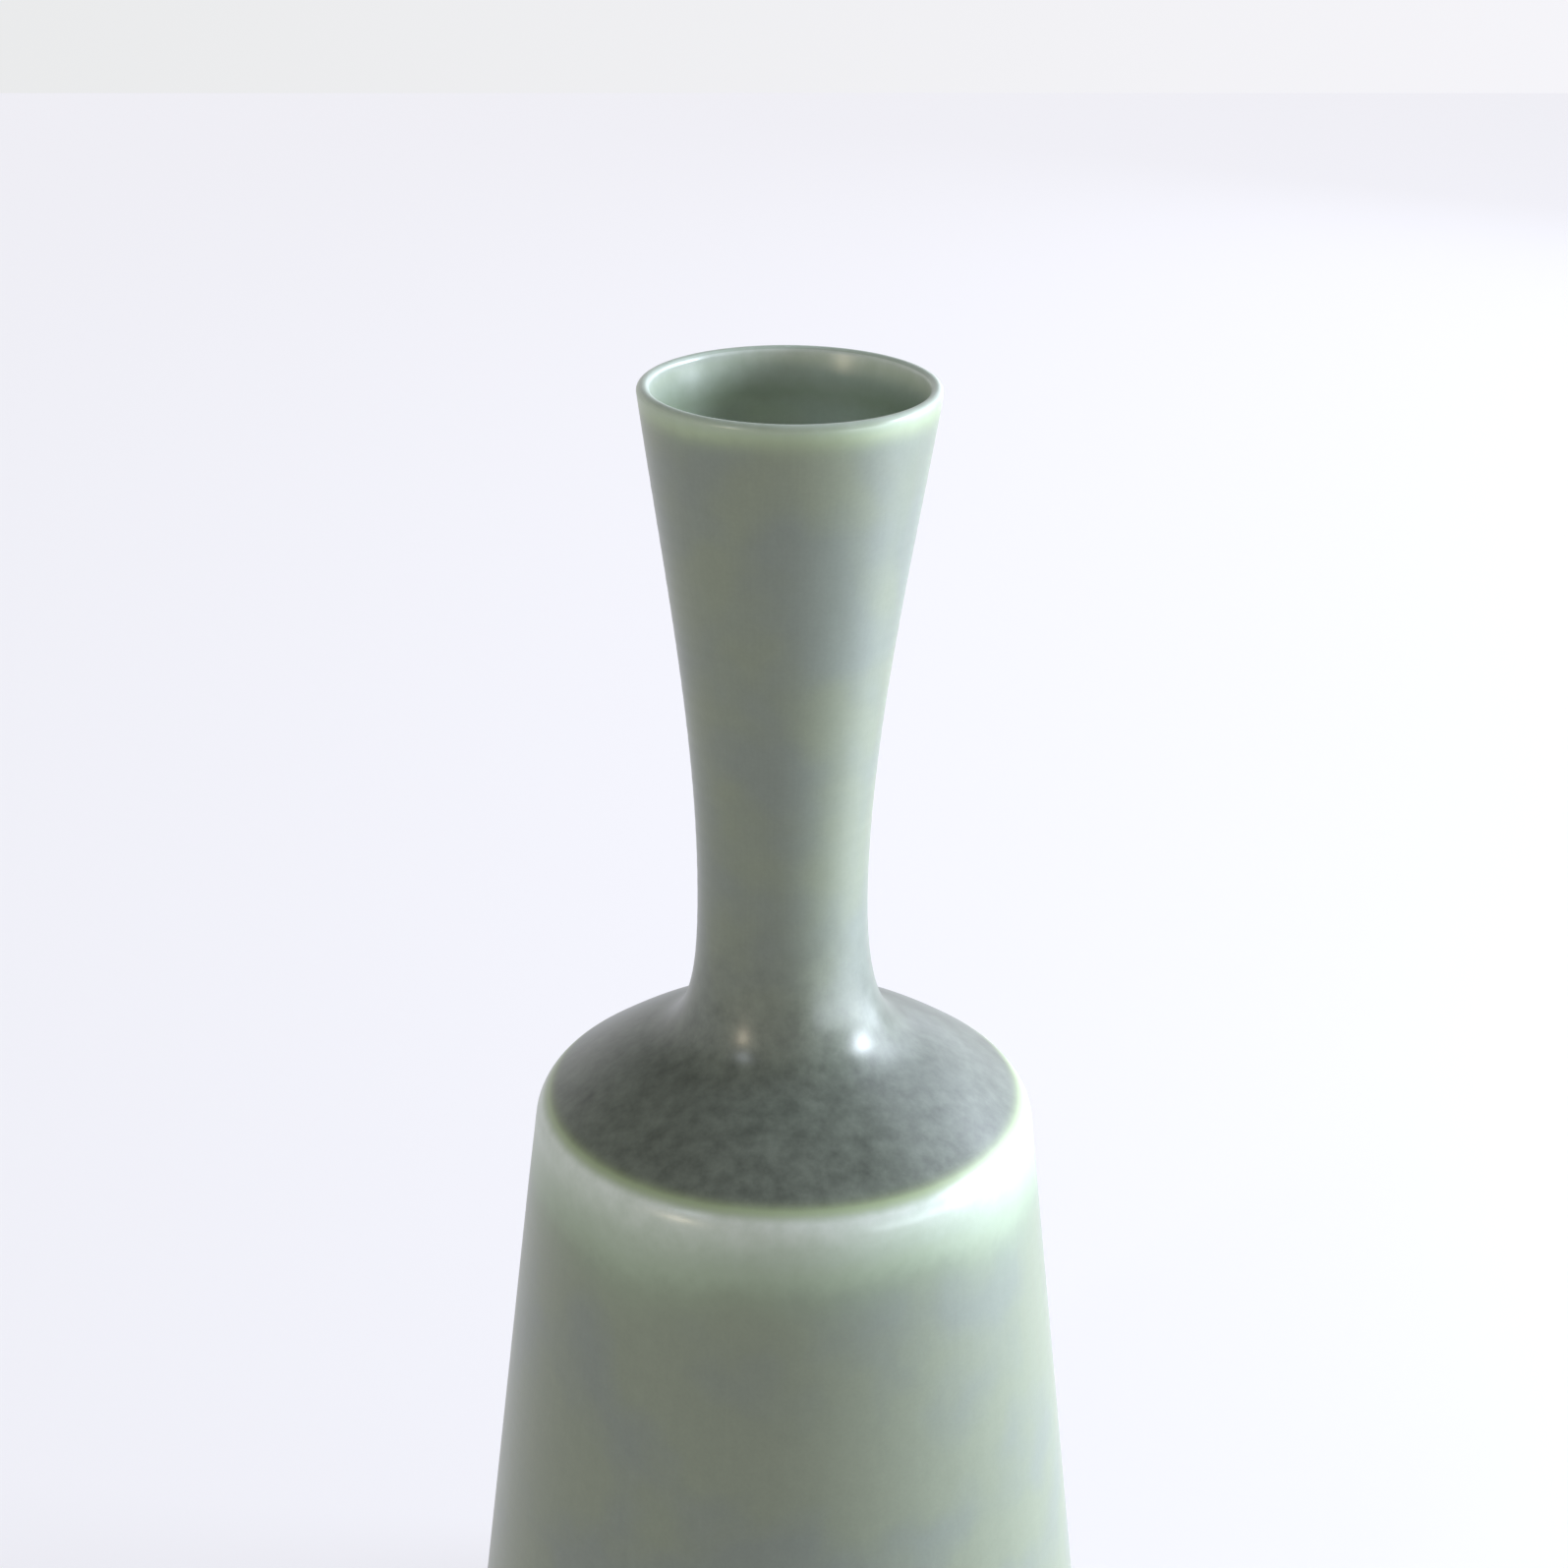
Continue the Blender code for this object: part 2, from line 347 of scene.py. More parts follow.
def rounded(corners, size, spacing):
    """A line through the corners, each inner one eased by a small quadratic curve."""
    runs = []
    start = np.array(corners[0])
    for before, corner, after in zip(corners, corners[1:], corners[2:]):
        into = np.subtract(before, corner)
        onward = np.subtract(after, corner)
        cut_in = corner + into / np.linalg.norm(into) * size
        cut_out = corner + onward / np.linalg.norm(onward) * size
        runs.append(line(start, cut_in, max(1, round(np.linalg.norm(cut_in - start) / spacing))))
        runs.append(bezier([cut_in, corner, cut_out], 5))
        start = cut_out
    runs.append(line(start, corners[-1], max(1, round(np.linalg.norm(corners[-1] - start) / spacing))))
    return joined(*runs)


# Distances along a profile, and what falls off with them.


def run_lengths(profile):
    """Distance along the profile from its first point, for each point."""
    steps = np.linalg.norm(np.diff(profile, axis=0), axis=1)
    return np.concatenate([[0], np.cumsum(steps)])


def fade(distance, reach):
    """Exponential fall-off from 1, flat before zero."""
    return np.exp(-np.maximum(distance, 0) / reach)


def bell(distance, width):
    return np.exp(-((distance / width) ** 2))


def smooth(value, low, high):
    """Smooth step from 0 at low to 1 at high."""
    share = np.clip((value - low) / (high - low), 0, 1)
    return share * share * (3 - 2 * share)


# Meshes from grids.


COLUMNS = 160                   # points round the axis


def angles():
    return np.arange(COLUMNS) * (2 * math.pi / COLUMNS)


def turned_grid(form, profile, swell=None):
    """The profile carried round the axis, one row a profile point and one column an angle.

    The neck's part slides sideways by its lean, which grows smoothly from the shoulder to
    the throat and falls to a third of that at the lip. Swell is a grid of distances along
    the normal.
    """
    radius = profile[:, :1] + np.zeros(COLUMNS)
    height = profile[:, 1:] + np.zeros(COLUMNS)
    if swell is not None:
        normal = normals(profile)
        radius = radius + normal[:, :1] * swell
        height = height + normal[:, 1:] * swell
    seat = form.height - form.ridge_drop
    throat = form.height - form.throat_drop
    flare = np.clip((height - throat) / form.throat_drop, 0, 1)
    lean = form.neck_lean * smooth(height, seat, throat) * (1 - 0.67 * flare * flare)
    return np.stack([radius * np.cos(angles()) - lean, radius * np.sin(angles()), height], axis=2)


def grid_object(name, grid, looped):
    """A closed mesh from a grid of points, rows by columns.

    Each cell is a quad. A looped grid joins its last row to its first. Otherwise the first
    and last rows lie on the axis, and each becomes one pole joined by a fan of triangles.
    """
    rows, columns = grid.shape[:2]
    if looped:
        points = grid.reshape(-1, 3)
        upper = np.arange(rows)[:, None]
        lower = (upper + 1) % rows
        first = 0
    else:
        points = np.concatenate([grid[:1].mean(axis=1), grid[1:-1].reshape(-1, 3), grid[-1:].mean(axis=1)])
        upper = np.arange(rows - 3)[:, None]
        lower = upper + 1
        first = 1
    here = np.arange(columns)[None, :]
    ahead = (here + 1) % columns
    upper, lower = upper * columns, lower * columns
    quads = np.stack([upper + here, lower + here, lower + ahead, upper + ahead], axis=2)
    faces = (quads.reshape(-1, 4) + first).tolist()
    if not looped:
        last_row = 1 + (rows - 3) * columns
        end = len(points) - 1
        faces += np.stack([0 * here[0], 1 + here[0], 1 + ahead[0]], axis=1).tolist()
        faces += np.stack([last_row + here[0], 0 * here[0] + end, last_row + ahead[0]], axis=1).tolist()
    mesh = bpy.data.meshes.new(name)
    mesh.from_pydata(points.tolist(), [], faces)
    mesh.shade_smooth()
    mesh.set_sharp_from_angle(angle=math.radians(50))
    piece = bpy.data.objects.new(name, mesh)
    bpy.context.scene.collection.objects.link(piece)
    return piece


def store(piece, name, values, kind="FLOAT"):
    """A value for each point of the mesh, kept as an attribute that the material reads."""
    attribute = piece.data.attributes.new(name, kind, "POINT")
    field = "value" if kind == "FLOAT" else "vector"
    attribute.data.foreach_set(field, np.ascontiguousarray(values, float).ravel())


def settle(piece, material, slot, *nodes):
    """Gives a piece its material, its body and the CAD nodes it stands for. The slot is not used."""
    piece.data.materials.append(material)
    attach(piece, "root")
    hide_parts(*nodes)


# Materials.


GLOW_START = -300 * MM          # where the floor's glow starts to grow, in front of the bottle
NEAR_GLOW = 0.96                # share of the floor's glow there and at its far edge
FAR_GLOW = 1.12


def linear(hex_colour):
    """An sRGB hex colour as linear RGBA."""
    channels = np.array([int(hex_colour[i : i + 2], 16) for i in (0, 2, 4)]) / 255
    light = np.where(channels <= 0.04045, channels / 12.92, ((channels + 0.055) / 1.055) ** 2.4)
    return (*light.tolist(), 1.0)


def add_node(tree, kind, inputs=None, **settings):
    """Adds a node, sets its properties, and gives each input a value or a link.

    Sockets whose names repeat go by number: a Math node's are 0 to 2, and a colour Mix takes
    its share at 0 and its two colours at 6 and 7, and gives the mixed one at output 2.
    """
    node = tree.nodes.new(kind)
    for name, value in settings.items():
        setattr(node, name, value)
    for key, value in (inputs or {}).items():
        if isinstance(value, bpy.types.NodeSocket):
            tree.links.new(value, node.inputs[key])
        else:
            node.inputs[key].default_value = value
    return node


def new_material(name):
    """An empty node material, its tree and its Principled shader, wired to the output."""
    material = bpy.data.materials.new(name)
    material.use_nodes = True
    tree = material.node_tree
    tree.nodes.clear()
    shader = add_node(tree, "ShaderNodeBsdfPrincipled")
    add_node(tree, "ShaderNodeOutputMaterial", {"Surface": shader.outputs["BSDF"]})
    return material, tree, shader


def satin_celadon(glaze):
    """Celadon: iron-tinted glass melted over pale clay in a smoky kiln.

    The coat is a satin glass full of fine bubbles, so it looks soft rather than wet. It is
    grey-green where it lies full, cloudier where it pooled on the shoulder, and pale with
    a yellow-green rim where it ran thin over the lip and the shoulder's edge.
    """
    material, tree, shader = new_material("satin_celadon")
    place = add_node(tree, "ShaderNodeTexCoord").outputs["Object"]
    flow = add_node(tree, "ShaderNodeAttribute", attribute_name="flow").outputs["Vector"]
    thinness = add_node(tree, "ShaderNodeAttribute", attribute_name="thinness").outputs["Fac"]
    rim = add_node(tree, "ShaderNodeAttribute", attribute_name="rim").outputs["Fac"]
    pooling = add_node(tree, "ShaderNodeAttribute", attribute_name="pooling").outputs["Fac"]
    painted_bore_light = add_node(tree, "ShaderNodeAttribute", attribute_name="painted_bore_light").outputs["Fac"]

    # Drifts of hue about 14 mm across, where the coat took up more or less iron.
    drift = add_node(
        tree, "ShaderNodeTexNoise", {"Vector": place, "Scale": 1 / (14 * MM), "Detail": 2.0}
    ).outputs["Fac"]
    # The neck, which stood higher in the kiln's smoke, lies further to the blue.
    level = add_node(tree, "ShaderNodeSeparateXYZ", {"Vector": place}).outputs["Z"]
    neck_share = add_node(
        tree,
        "ShaderNodeMapRange",
        {"Value": level, "From Min": 90 * MM, "From Max": 125 * MM, "To Max": 0.09},
    ).outputs["Result"]
    drifted = add_node(
        tree, "ShaderNodeMath", {0: drift, 1: neck_share}, operation="ADD"
    ).outputs["Value"]
    cool_share = add_node(
        tree, "ShaderNodeMapRange", {"Value": drifted, "From Min": 0.46, "From Max": 0.66, "To Max": 0.6}
    ).outputs["Result"]
    warm_share = add_node(
        tree, "ShaderNodeMapRange", {"Value": drift, "From Min": 0.48, "From Max": 0.30, "To Max": 0.4}
    ).outputs["Result"]
    cooled = add_node(
        tree,
        "ShaderNodeMix",
        {0: cool_share, 6: linear(glaze.deep), 7: linear(glaze.cool)},
        data_type="RGBA",
    ).outputs[2]
    warmed = add_node(
        tree, "ShaderNodeMix", {0: warm_share, 6: cooled, 7: linear(glaze.warm)}, data_type="RGBA"
    ).outputs[2]
    pooled = add_node(
        tree, "ShaderNodeMix", {0: pooling, 6: warmed, 7: linear(glaze.dusk)}, data_type="RGBA"
    ).outputs[2]

    # Clouds 2.2 mm across, strong only where the coat pooled.
    cloud = add_node(
        tree,
        "ShaderNodeTexNoise",
        {"Vector": place, "Scale": 1 / (2.2 * MM), "Detail": 3.0, "Roughness": 0.6},
    ).outputs["Fac"]
    cloud_depth = add_node(
        tree, "ShaderNodeMath", {0: pooling, 1: 1.1, 2: 0.14}, operation="MULTIPLY_ADD"
    ).outputs["Value"]
    cloud_swing = add_node(
        tree, "ShaderNodeMath", {0: cloud, 1: 0.5}, operation="SUBTRACT"
    ).outputs["Value"]
    # Streaks 0.9 mm wide and ten times as long, where the melt crept down the wall.
    streak = add_node(
        tree, "ShaderNodeTexNoise", {"Vector": flow, "Scale": 1 / (0.9 * MM), "Detail": 2.0}
    ).outputs["Fac"]
    # Bubbles and pinholes, drawn 0.45 mm across, which is as fine as shows.
    speck = add_node(
        tree,
        "ShaderNodeTexNoise",
        {"Vector": place, "Scale": 1 / (0.45 * MM), "Detail": 1.0, "Roughness": 0.5},
    ).outputs["Fac"]
    clouded = add_node(
        tree, "ShaderNodeMath", {0: cloud_swing, 1: cloud_depth, 2: 1.0}, operation="MULTIPLY_ADD"
    ).outputs["Value"]
    streaked = add_node(
        tree,
        "ShaderNodeMapRange",
        {"Value": streak, "From Min": 0.25, "From Max": 0.75, "To Min": 0.98, "To Max": 1.02},
    ).outputs["Result"]
    specked = add_node(
        tree,
        "ShaderNodeMapRange",
        {"Value": speck, "From Min": 0.35, "From Max": 0.65, "To Min": 0.98, "To Max": 1.02},
    ).outputs["Result"]
    grain = add_node(
        tree, "ShaderNodeMath", {0: streaked, 1: specked}, operation="MULTIPLY"
    ).outputs["Value"]
    mottled = add_node(
        tree, "ShaderNodeMath", {0: grain, 1: clouded}, operation="MULTIPLY"
    ).outputs["Value"]
    # Painted light: the liner is painted paler near the lip, fading down the neck, in place of the light
    # that reaches into the bore.
    shade = add_node(
        tree, "ShaderNodeMath", {0: mottled, 1: painted_bore_light, 2: mottled}, operation="MULTIPLY_ADD"
    ).outputs["Value"]
    full = add_node(
        tree, "ShaderNodeVectorMath", {0: pooled, "Scale": shade}, operation="SCALE"
    ).outputs["Vector"]

    # The thin stretches, broken up a little by the clouds.
    ragged = add_node(
        tree,
        "ShaderNodeMapRange",
        {"Value": cloud, "From Min": 0.3, "From Max": 0.7, "To Min": 0.86, "To Max": 1.1},
    ).outputs["Result"]
    drawn = add_node(
        tree, "ShaderNodeMath", {0: thinness, 1: ragged}, operation="MULTIPLY", use_clamp=True
    ).outputs["Value"]
    greening = add_node(
        tree, "ShaderNodeMapRange", {"Value": drawn, "From Max": 0.22}, interpolation_type="SMOOTHSTEP"
    ).outputs["Result"]
    greened = add_node(
        tree, "ShaderNodeMix", {0: greening, 6: full, 7: linear(glaze.sea)}, data_type="RGBA"
    ).outputs[2]
    baring = add_node(tree, "ShaderNodeMapRange", {"Value": drawn, "From Min": 0.10}).outputs["Result"]
    thinned = add_node(
        tree, "ShaderNodeMix", {0: baring, 6: greened, 7: linear(glaze.thin)}, data_type="RGBA"
    ).outputs[2]
    edged = add_node(
        tree, "ShaderNodeMix", {0: rim, 6: thinned, 7: linear(glaze.tinge)}, data_type="RGBA"
    ).outputs[2]

    # A satin face, a little duller on the clouds, with the softest orange peel.
    satin = add_node(
        tree,
        "ShaderNodeMapRange",
        {"Value": cloud, "From Min": 0.3, "From Max": 0.7, "To Min": 0.285, "To Max": 0.32},
    ).outputs["Result"]
    relief = add_node(
        tree, "ShaderNodeBump", {"Height": cloud, "Strength": 0.2, "Distance": 0.015 * MM}
    ).outputs["Normal"]
    for name, value in {"Base Color": edged, "Roughness": satin, "Normal": relief}.items():
        tree.links.new(value, shader.inputs[name])
    shader.inputs["IOR"].default_value = 1.5
    return material


def bare_stoneware(clay):
    """Stoneware fired bare: pale buff clay with fine grog, matt, flashed warm beside the glaze."""
    material, tree, shader = new_material("bare_stoneware")
    place = add_node(tree, "ShaderNodeTexCoord").outputs["Object"]
    toast = add_node(tree, "ShaderNodeAttribute", attribute_name="toast").outputs["Fac"]
    patch = add_node(
        tree, "ShaderNodeTexNoise", {"Vector": place, "Scale": 1 / (6 * MM), "Detail": 3.0}
    ).outputs["Fac"]
    patchy = add_node(
        tree,
        "ShaderNodeMapRange",
        {"Value": patch, "From Min": 0.3, "From Max": 0.7, "To Min": 0.6, "To Max": 1.2},
    ).outputs["Result"]
    flash = add_node(
        tree, "ShaderNodeMath", {0: toast, 1: patchy}, operation="MULTIPLY", use_clamp=True
    ).outputs["Value"]
    flashed = add_node(
        tree, "ShaderNodeMix", {0: flash, 6: linear(clay.body), 7: linear(clay.toast)}, data_type="RGBA"
    ).outputs[2]
    # Grog: crushed fired clay, grains of about 0.5 mm, a few of them showing dark.
    grain = add_node(
        tree, "ShaderNodeTexVoronoi", {"Vector": place, "Scale": 1 / (1.1 * MM)}
    ).outputs["Distance"]
    dark = add_node(
        tree, "ShaderNodeMapRange", {"Value": grain, "From Min": 0.16, "From Max": 0.06, "To Max": 0.7}
    ).outputs["Result"]
    specked = add_node(
        tree, "ShaderNodeMix", {0: dark, 6: flashed, 7: linear(clay.grog)}, data_type="RGBA"
    ).outputs[2]
    tooth = add_node(
        tree,
        "ShaderNodeTexNoise",
        {"Vector": place, "Scale": 1 / (0.3 * MM), "Detail": 3.0, "Roughness": 0.7},
    ).outputs["Fac"]
    relief = add_node(
        tree, "ShaderNodeBump", {"Height": tooth, "Strength": 0.6, "Distance": 0.04 * MM}
    ).outputs["Normal"]
    for name, value in {"Base Color": specked, "Normal": relief}.items():
        tree.links.new(value, shader.inputs[name])
    shader.inputs["Roughness"].default_value = 0.82
    shader.inputs["IOR"].default_value = 1.5
    return material


def lit_acrylic(stage):
    """Opal acrylic lit from below: a pale, even glow that still takes a soft shadow."""
    material, tree, shader = new_material("lit_acrylic")
    place = add_node(tree, "ShaderNodeTexCoord").outputs["Object"]
    frost = add_node(
        tree, "ShaderNodeTexNoise", {"Vector": place, "Scale": 1 / (4 * MM), "Detail": 2.0}
    ).outputs["Fac"]
    relief = add_node(
        tree, "ShaderNodeBump", {"Height": frost, "Strength": 0.1, "Distance": 0.05 * MM}
    ).outputs["Normal"]
    # The tubes under it stand closer together toward the far edge.
    reach = add_node(tree, "ShaderNodeSeparateXYZ", {"Vector": place}).outputs["Y"]
    evenness = add_node(
        tree,
        "ShaderNodeMapRange",
        {
            "Value": reach,
            "From Min": GLOW_START,
            "From Max": stage.far_edge,
            "To Min": NEAR_GLOW * stage.glow_strength,
            "To Max": FAR_GLOW * stage.glow_strength,
        },
    ).outputs["Result"]
    tree.links.new(evenness, shader.inputs["Emission Strength"])
    tree.links.new(relief, shader.inputs["Normal"])
    shader.inputs["Base Color"].default_value = linear(stage.floor)
    shader.inputs["Roughness"].default_value = 0.9
    shader.inputs["IOR"].default_value = 1.49
    shader.inputs["Emission Color"].default_value = linear(stage.glow)
    return material


def kept_material(make, name, settings):
    """The material of this name, made the first time that it is asked for."""
    return bpy.data.materials.get(name) or make(settings)


# Pieces.


def throwing_swell(form, glaze, profile, along):
    """Throwing rings: a sine down the neck that winds once round per ring, so it is a spiral.

    They fade out at the lip and the root, where the potter's rib smoothed them, and are
    about a third as high on the wall, which two and three slow lobes make a little oval.
    """
    height = profile[:, 1][:, None]
    neck = smooth(height, form.height - form.root_drop, form.height - form.throat_drop)
    neck = neck * smooth(form.height - height, 2 * MM, 12 * MM)
    wall = smooth(form.height - form.ridge_drop - height, 4 * MM, 14 * MM)
    angle = angles()
    phase = along[:, None] * (2 * math.pi / glaze.ring_pitch) + angle
    uneven = 0.6 + 0.4 * np.sin(0.37 * phase)
    rings = glaze.ring_depth * np.sin(phase) * uneven * (neck + 0.35 * wall)
    lobes = 0.04 * MM * np.sin(2 * angle + 0.7) + 0.03 * MM * np.sin(3 * angle + 40 * height)
    return rings + lobes * wall


FLOW_RADIUS = 31 * MM
FLOW_STRETCH = 0.1              # a pattern on the flow coordinates is ten times as long as wide
HEM_ROUND = 0.45 * MM           # how far up the glaze's edge takes to reach its full thickness
EDGE_WIDTH = 1.25 * MM          # how soon the coat thins on the way to the shoulder's edge
LIP_RIM_DROP = 2.0 * MM         # the yellow-green rims: how far from the lip or the edge, how wide
LIP_RIM_WIDTH = 1.3 * MM
EDGE_RIM_RISE = 1.5 * MM
EDGE_RIM_WIDTH = 0.9 * MM
CLAY_DEPTH = 0.3 * MM           # the clay's surface under the glazed one
SEAM = 0.3 * MM                 # gap between two clay sections, which slip fills
FOOT_EASE = 0.5 * MM            # eased corners of the foot


def with_poles(grid):
    """The grid's values in the order of a poled mesh's points: pole, rows, pole."""
    return np.concatenate([[grid[0].mean(axis=0)], *grid[1:-1], [grid[-1].mean(axis=0)]])


def glaze_marks(piece, marks, along, hidden_rows, poled=False):
    """Stores what the glaze's material reads, with nothing on the hidden rows.

    The marks are grids, and each is 0 where the coat is plain. Flow is the cosine and sine
    of the angle times one radius, and a tenth of the distance down the profile, so that a
    pattern on it runs in streaks down the wall and meets itself behind.
    """
    blank = np.zeros((hidden_rows, COLUMNS))
    settled = with_poles if poled else np.asarray
    for name, grid in marks.items():
        shown = np.broadcast_to(grid, (len(along), COLUMNS))
        store(piece, name, settled(np.concatenate([shown, blank])))
    down = np.concatenate([np.broadcast_to(along[:, None], (len(along), COLUMNS)), blank]) * FLOW_STRETCH
    across = np.broadcast_to(np.cos(angles()) * FLOW_RADIUS, down.shape)
    beside = np.broadcast_to(np.sin(angles()) * FLOW_RADIUS, down.shape)
    store(piece, "flow", settled(np.stack([across, beside, down], axis=2)), "FLOAT_VECTOR")


def lip_mark(glaze, below_lip):
    """How thin the outer coat is over the lip and just below it: a fall-off that wavers round it."""
    uneven = 1 + 0.12 * np.sin(2 * angles() + 1) + 0.08 * np.sin(5 * angles())
    return 0.62 * fade(below_lip[:, None], glaze.lip_reach * uneven)


def make_coat(form, glaze):
    """The outer coat: over the lip, down the neck, shoulder and wall to the glaze line.

    Its face is the glazed surface with throwing rings, a rolled edge, and a glaze line that
    wanders by about half a millimetre. Its back lies one coat's thickness under it.
    """
    face, rows = outside(form, glaze.line_height, 0, 1.0)
    along = run_lengths(face)
    to_line = along[-1] - along[:, None]
    swell = throwing_swell(form, glaze, face, along)
    swell = swell + glaze.line_roll * bell(to_line - 1.4 * HEM_ROUND, HEM_ROUND)
    closing = np.clip(1 - to_line / HEM_ROUND, 0, 1)
    swell = swell - glaze.coat * (1 - np.sqrt(1 - closing**2))
    shown = turned_grid(form, face, swell)
    # The glaze line wanders in 3, 7 and 13 waves round the wall. As it moves, it keeps to the cone.
    angle = angles()
    wander = 0.30 * np.sin(3 * angle + 0.6) + 0.22 * np.sin(7 * angle + 2.0) + 0.12 * np.sin(13 * angle)
    drop = wander * MM * fade(to_line, 6 * MM)
    shown[:, :, 2] += drop
    shown[:, :, :2] *= (1 - form.cone_taper * drop / face[:, :1])[:, :, None]

    back = outside(form, glaze.line_height, glaze.coat, 0.3)[0][::-1]
    hidden = turned_grid(form, back)
    hidden[:, :, 2] += wander * MM * fade(run_lengths(back)[:, None], 6 * MM)
    piece = grid_object("glaze_coat", np.concatenate([shown, hidden]), looped=True)

    below_lip = along - along[rows["neck"]] / 2
    below_edge = along - (along[rows["edge"]] + along[rows["wall"]]) / 2
    # The coat is nearly bare on the edge, and thickens fast above it and slowly down the wall.
    uneven = 1 + 0.10 * np.sin(3 * angle + 2) + 0.06 * np.sin(8 * angle)
    edge_thin = bell(np.minimum(below_edge, 0), EDGE_WIDTH)[:, None]
    edge_thin = 0.95 * edge_thin * fade(below_edge[:, None], glaze.edge_reach * uneven)
    lip_rim = 0.28 * bell(below_lip - LIP_RIM_DROP, LIP_RIM_WIDTH)
    edge_rim = 0.50 * bell(below_edge + EDGE_RIM_RISE, EDGE_RIM_WIDTH)
    # It pooled from the neck's root out to the edge.
    root = along[rows["root"]]
    pooling = smooth(along, root - 4 * MM, root + 24 * MM) * (1 - smooth(below_edge, -EDGE_ROUND, 0))
    marks = {
        "thinness": np.maximum(lip_mark(glaze, below_lip), edge_thin),
        "rim": (lip_rim + edge_rim)[:, None],
        "pooling": pooling[:, None],
    }
    glaze_marks(piece, marks, along, len(hidden))
    settle(piece, kept_material(satin_celadon, "satin_celadon", glaze), "celadon_glaze", "outer_glaze")


def make_liner(form, glaze):
    """The liner: the same glaze poured inside, from the lip to the middle of the floor.

    Its face has the throwing rings inside out, half as high, and its back lies one coat's
    thickness behind it. Both end in a pole on the floor.
    """
    face = inside(form, 0, 0.8)[0]
    along = run_lengths(face)
    swell = -0.5 * throwing_swell(form, glaze, face, along)
    shown = turned_grid(form, face, swell)[::-1]
    hidden = turned_grid(form, inside(form, glaze.coat, 0.3)[0])
    piece = grid_object("glaze_liner", np.concatenate([shown, hidden]), looped=False)

    below_lip = along[::-1]
    marks = {
        "thinness": fade(below_lip[:, None], glaze.liner_reach),
        # Painted light: the liner is painted paler near the lip, standing in for light that reaches into
        # the bore.
        "painted_bore_light": glaze.bore_light_gain * fade(below_lip[:, None], glaze.bore_light_reach),
        "rim": 0.2 * bell(below_lip - 1.2 * MM, 0.8 * MM)[:, None],
        "pooling": 0.6 * smooth(below_lip, 15 * MM, 50 * MM)[:, None],
    }
    glaze_marks(piece, marks, below_lip, len(hidden), poled=True)
    settle(piece, kept_material(satin_celadon, "satin_celadon", glaze), "liner_glaze", "liner_glaze")


def trimmed(profile):
    """The profile without the first seam's width of it."""
    along = run_lengths(profile)
    start = [np.interp(SEAM, along, profile[:, side]) for side in (0, 1)]
    return np.concatenate([[start], profile[along > SEAM]])


def make_clay(form, clay):
    """The three clay sections above the foot, each a closed loop down its outer side and up its inner.

    They meet at seams that slip fills: the neck ends where its root meets the shoulder, the
    shoulder just under its edge, and the wall where the floor's round begins.
    """
    floor_round_top = form.floor_height + FLOOR_ROUND
    outer, out_row = outside(form, floor_round_top, CLAY_DEPTH, 0.4)
    inner, in_row = inside(form, CLAY_DEPTH, 0.4)
    # Both sides of the neck start at the same point of the lip, which is kept once.
    neck = (outer[: out_row["shoulder"] + 1], inner[1 : in_row["shoulder"] + 1])
    shoulder = (
        trimmed(outer[out_row["shoulder"] : out_row["wall"] + 1]),
        trimmed(inner[in_row["shoulder"] : in_row["wall"] + 1]),
    )
    wall = (trimmed(outer[out_row["wall"] :]), trimmed(inner[in_row["wall"] : in_row["floor"] + 1]))
    sections = {
        "clay_neck": (neck, "neck"),
        "clay_shoulder": (shoulder, "shoulder"),
        "clay_wall": (wall, "body_wall"),
    }
    for name, ((front, back), node) in sections.items():
        grid = turned_grid(form, np.concatenate([front, back[::-1]]))
        piece = grid_object(name, grid, looped=True)
        store(piece, "toast", np.zeros(grid.shape[:2]))
        settle(piece, kept_material(bare_stoneware, "bare_stoneware", clay), "stoneware", node)


def make_foot(form, foot, glaze, clay):
    """The floor with its upturned edge, the heel and the resting ring round a shallow hollow.

    The profile runs from the floor's middle out, down the heel, under the ring and back to
    the middle, with an Archimedean spiral cut in the hollow by the turning tool.
    """
    inner, in_row = inside(form, CLAY_DEPTH, 0.5)
    floor = trimmed(inner[in_row["floor"] :])[::-1]
    top = floor[-1, 1]
    ring_inner = foot.ring_radius - foot.ring_width
    # From the seam out to the wall, down to the heel, in to the ring, under it and up into the hollow.
    corners = [
        floor[-1],
        (cone(form, top) - CLAY_DEPTH, top),
        (cone(form, foot.heel_height) - CLAY_DEPTH, foot.heel_height),
        (foot.ring_radius, 0),
        (ring_inner, 0),
        (ring_inner - foot.recess, foot.recess),
        (0, foot.recess),
    ]
    profile = joined(floor, rounded(corners, FOOT_EASE, 0.35 * MM))
    radius, height = profile[:, :1], profile[:, 1:]
    hollow = ring_inner - foot.recess
    bare = np.arange(len(profile))[:, None] > len(floor)
    depth = foot.turning_depth * smooth(radius, 2 * MM, 6 * MM) * smooth(hollow - radius, 0, 2 * MM)
    grooves = depth * np.sin(2 * math.pi * radius / foot.turning_pitch + angles())
    swell = np.where(bare & (radius < hollow), grooves, 0)
    piece = grid_object("turned_foot", turned_grid(form, profile, swell), looped=False)

    # The kiln flashed the clay beside the glaze line, and a little on the ring.
    beside_line = fade(np.abs(glaze.line_height - height), 1.1 * MM)
    flashed = np.where(bare, np.maximum(beside_line, 0.35 * fade(height, 0.5 * MM)), 0)
    toast = np.broadcast_to(flashed, (len(profile), COLUMNS))
    store(piece, "toast", with_poles(toast))
    settle(piece, kept_material(bare_stoneware, "bare_stoneware", clay), "stoneware", "base")


# Stage.


BOARD_REACH = 4                 # metres to each side and toward the camera
SHOULDER_LEVEL = 110 * MM       # height that the lamps face


